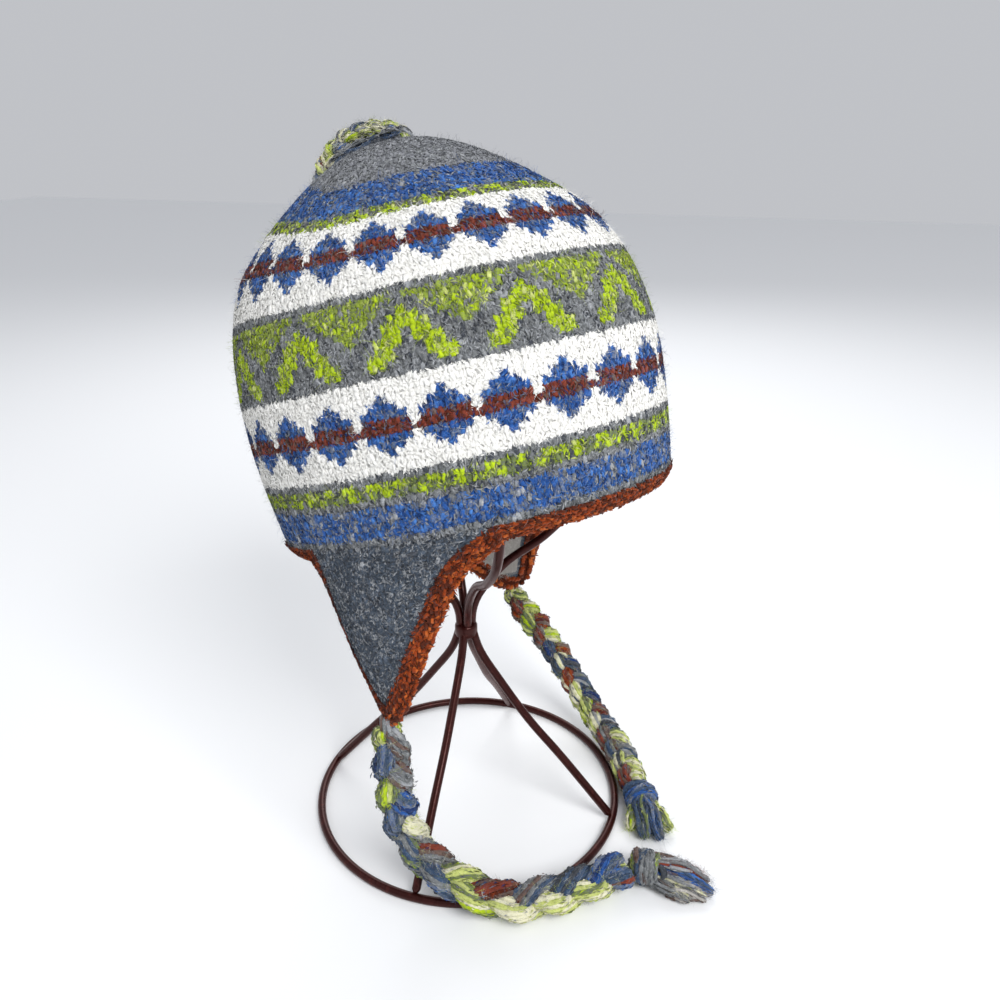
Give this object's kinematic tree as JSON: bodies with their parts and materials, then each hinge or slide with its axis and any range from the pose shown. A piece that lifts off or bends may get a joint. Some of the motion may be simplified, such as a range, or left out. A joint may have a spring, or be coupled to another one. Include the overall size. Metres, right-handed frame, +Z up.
{
  "type": "chullo hat on a wire hat stand",
  "caption": "Knitted wool chullo with lined ear flaps, crochet edging, tie braids with tassels and a crown loop, leaning back on a plain wire hat stand.",
  "frame": {"origin": "on the surface that the stand rests on, under the middle of the box of the hat and stand without its tie braids", "axes": "+Z up, +X to the wearer's front, -Y to the wearer's right ear"},
  "size_m": [0.2268, 0.1707, 0.3207],
  "materials": {
    "pattern_knit": "felted wool knit, banded in white, blue, green, rust and grey",
    "grey_knit": "felted grey heather wool",
    "fleece": "pale grey brushed fleece",
    "rust_crochet": "rust wool crochet",
    "braid_yarn": "plaited wool in blue, lime, cream, rust and grey",
    "tassel_yarn": "loose wool ends in grey, blue, beige and lime",
    "bronze_wire": "dark bronze lacquer on steel wire"
  },
  "bodies": {
    "root": {"crown": "pattern_knit", "ear_flap_right": "grey_knit", "ear_flap_left": "grey_knit", "flap_lining_right": "fleece", "flap_lining_left": "fleece", "edge_trim": "rust_crochet", "crown_loop": "braid_yarn", "braid_right": "braid_yarn", "braid_left": "braid_yarn", "tassel_right": "tassel_yarn", "tassel_left": "tassel_yarn", "hat_stand": "bronze_wire"}
  },
  "joints": []
}
